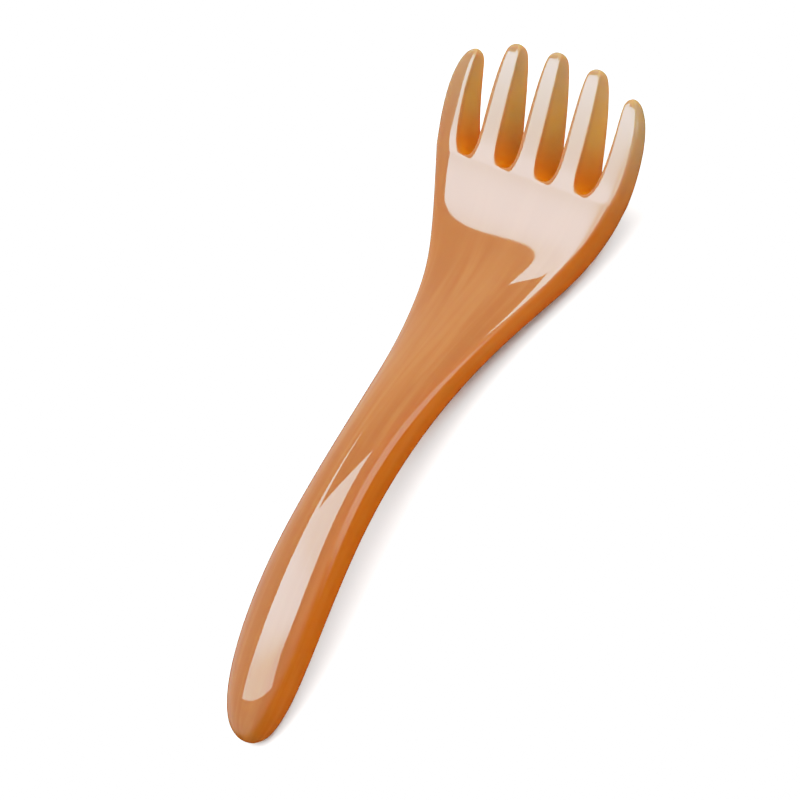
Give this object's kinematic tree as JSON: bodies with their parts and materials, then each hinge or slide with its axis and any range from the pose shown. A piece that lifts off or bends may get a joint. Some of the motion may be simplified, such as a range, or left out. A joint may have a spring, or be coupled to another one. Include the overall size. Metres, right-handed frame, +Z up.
{
  "type": "scalp massage comb",
  "caption": "One-piece scalp massage comb: an arched oval handle widens into a slightly dished palm with a row of rounded claw teeth.",
  "frame": {"origin": "on the surface it lies on, under the middle of the comb's box", "axes": "+X along the comb from the handle end to the teeth, +Y across the teeth, +Z up from the surface, the side that the teeth curve towards"},
  "size_m": [0.1848, 0.0632, 0.0284],
  "materials": {
    "resin": "polished translucent honey resin, like pale horn, with faint lengthwise clouds and a mirror gloss"
  },
  "bodies": {
    "root": {"comb": "resin"}
  },
  "joints": []
}
